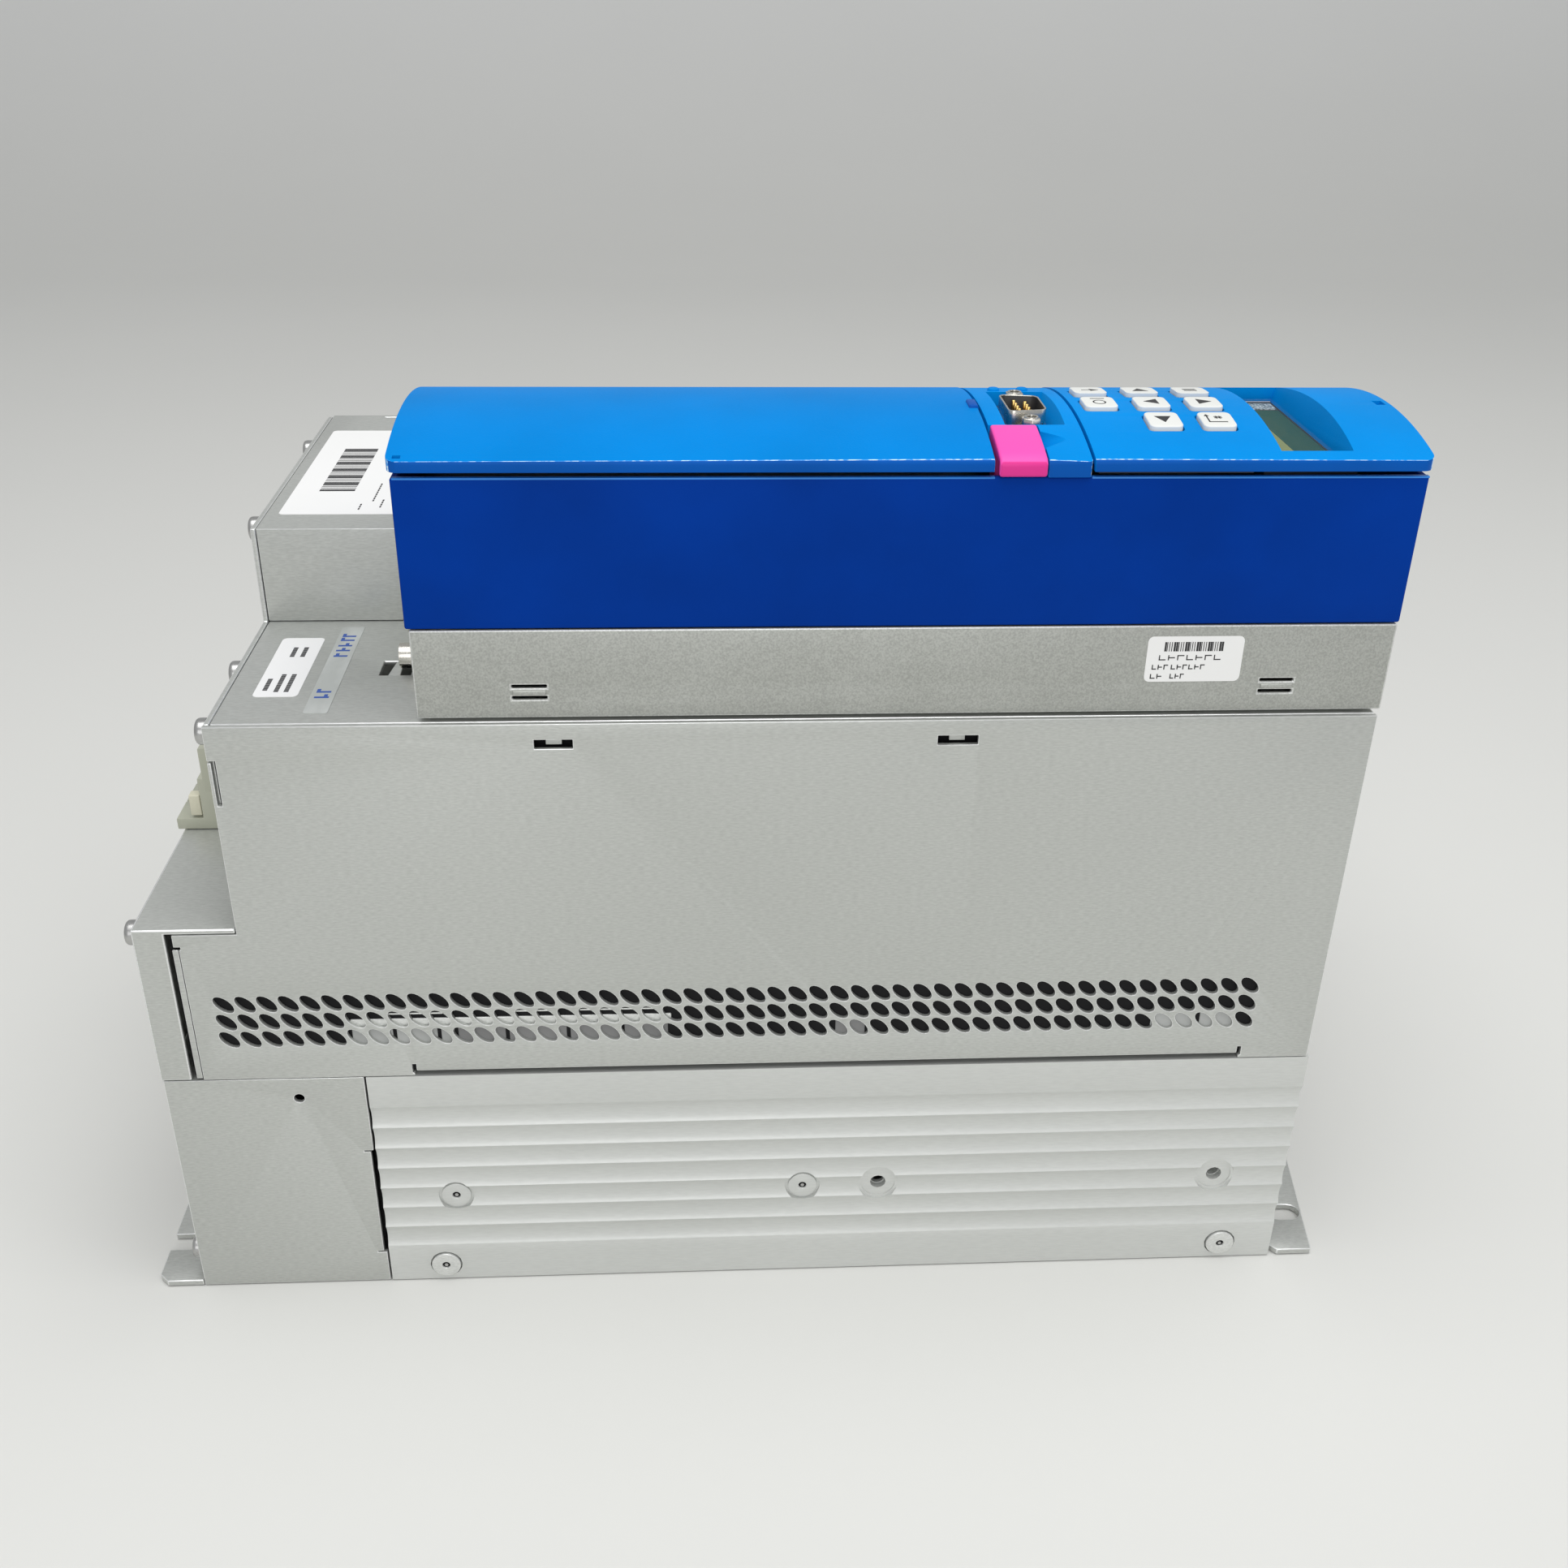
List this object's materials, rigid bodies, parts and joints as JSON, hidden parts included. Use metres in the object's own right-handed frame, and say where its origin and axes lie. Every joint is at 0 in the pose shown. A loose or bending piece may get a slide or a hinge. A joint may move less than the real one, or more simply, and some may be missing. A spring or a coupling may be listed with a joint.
{
  "type": "variable frequency drive",
  "caption": "Wall-mounted variable frequency drive on a finned heat sink, with cooling fans, hinged front cover, sprung keys, display and plug-in memory module.",
  "frame": {"origin": "middle of the overall box on the mounting plane, under the back plate", "axes": "+Z out of the front, away from the wall; +X from the lower end with fans and terminals to the upper end with the display; +Y from the control unit's side to the option side"},
  "size_m": [0.3824, 0.1957, 0.2771],
  "materials": {
    "zinc": "bare galvanised sheet, satin",
    "aluminium": "extruded, satin",
    "grey_sheet": "warm grey coated sheet, matt",
    "deep_blue": "fine grained moulding",
    "bright_blue": "fine grained moulding, satin",
    "white_plastic": "satin",
    "pink_plastic": "satin",
    "beige_plastic": "matt",
    "black_plastic": "matt",
    "rubber": "matt",
    "nickel": "nickel plated",
    "board": "green solder mask",
    "display": "olive display",
    "window": "clear, gloss",
    "sleeve": "printed sleeve, satin"
  },
  "bodies": {
    "chassis": {"back_plate": "zinc", "fan_shroud": "zinc", "side_panel_near": "zinc", "side_panel_far": "zinc", "terminal_cover": "zinc", "lower_end_plate": "zinc", "upper_end_plate": "zinc", "connection_cover": "zinc", "option_cover": "zinc", "heat_sink": "aluminium", "control_base": "grey_sheet", "control_housing": "deep_blue", "bridge_cover": "bright_blue", "keypad_cover": "bright_blue", "power_terminal_block": "beige_plastic", "signal_terminal_block": "beige_plastic", "encoder_terminal_block": "beige_plastic", "option_terminal_block": "beige_plastic", "fan_frame_near": "black_plastic", "fan_frame_far": "black_plastic", "serial_connector_insert": "black_plastic", "power_module": "black_plastic", "key_mat": "rubber", "fan_guard_near": "nickel", "fan_guard_far": "nickel", "side_rivet_1": "nickel", "side_rivet_2": "nickel", "side_rivet_3": "nickel", "side_rivet_4": "nickel", "serial_connector_shell": "nickel", "jack_nut_near": "nickel", "jack_nut_far": "nickel", "socket_screw": "nickel", "end_screw_1": "nickel", "end_screw_2": "nickel", "end_screw_3": "nickel", "end_screw_4": "nickel", "end_screw_5": "nickel", "end_screw_6": "nickel", "power_board": "board", "control_board": "board", "option_board": "board", "display_module": "display", "display_window": "window", "bus_capacitor_1": "sleeve", "bus_capacitor_2": "sleeve", "bus_capacitor_3": "sleeve", "bus_capacitor_4": "sleeve"},
    "front_cover": {"front_cover": "bright_blue"},
    "memory_module": {"memory_module": "pink_plastic"},
    "fan_rotor_near": {"fan_rotor_near": "black_plastic"},
    "fan_rotor_far": {"fan_rotor_far": "black_plastic"},
    "key_function": {"key_function": "white_plastic"},
    "key_local": {"key_local": "white_plastic"},
    "key_left": {"key_left": "white_plastic"},
    "key_down": {"key_down": "white_plastic"},
    "key_right": {"key_right": "white_plastic"},
    "key_escape": {"key_escape": "white_plastic"},
    "key_up": {"key_up": "white_plastic"},
    "key_enter": {"key_enter": "white_plastic"}
  },
  "joints": [
    {"name": "front_cover_hinge", "type": "hinge", "parent": "chassis", "child": "front_cover", "pos_m": [-0.09205, -0.0602, 0.2678], "axis": [0, -1, 0], "range_deg": [0, 100]},
    {"name": "memory_module_pull", "type": "slide", "parent": "chassis", "child": "memory_module", "axis": [0, 0, 1], "range_m": [0, 0.03]},
    {"name": "fan_near_spin", "type": "hinge", "parent": "chassis", "child": "fan_rotor_near", "pos_m": [-0.16385, -0.04875, 0.0413], "axis": [1, 0, 0], "continuous": true},
    {"name": "fan_far_spin", "type": "hinge", "parent": "chassis", "child": "fan_rotor_far", "pos_m": [-0.16385, 0.04875, 0.0413], "axis": [1, 0, 0], "continuous": true},
    {"name": "key_function_press", "type": "slide", "parent": "chassis", "child": "key_function", "axis": [0, 0, -1], "range_m": [0, 0.001], "stiffness_N_per_m": 400, "springref_m": -0.001},
    {"name": "key_local_press", "type": "slide", "parent": "chassis", "child": "key_local", "axis": [0, 0, -1], "range_m": [0, 0.001], "stiffness_N_per_m": 400, "springref_m": -0.001},
    {"name": "key_left_press", "type": "slide", "parent": "chassis", "child": "key_left", "axis": [0, 0, -1], "range_m": [0, 0.001], "stiffness_N_per_m": 400, "springref_m": -0.001},
    {"name": "key_down_press", "type": "slide", "parent": "chassis", "child": "key_down", "axis": [0, 0, -1], "range_m": [0, 0.001], "stiffness_N_per_m": 400, "springref_m": -0.001},
    {"name": "key_right_press", "type": "slide", "parent": "chassis", "child": "key_right", "axis": [0, 0, -1], "range_m": [0, 0.001], "stiffness_N_per_m": 400, "springref_m": -0.001},
    {"name": "key_escape_press", "type": "slide", "parent": "chassis", "child": "key_escape", "axis": [0, 0, -1], "range_m": [0, 0.001], "stiffness_N_per_m": 400, "springref_m": -0.001},
    {"name": "key_up_press", "type": "slide", "parent": "chassis", "child": "key_up", "axis": [0, 0, -1], "range_m": [0, 0.001], "stiffness_N_per_m": 400, "springref_m": -0.001},
    {"name": "key_enter_press", "type": "slide", "parent": "chassis", "child": "key_enter", "axis": [0, 0, -1], "range_m": [0, 0.001], "stiffness_N_per_m": 400, "springref_m": -0.001}
  ]
}
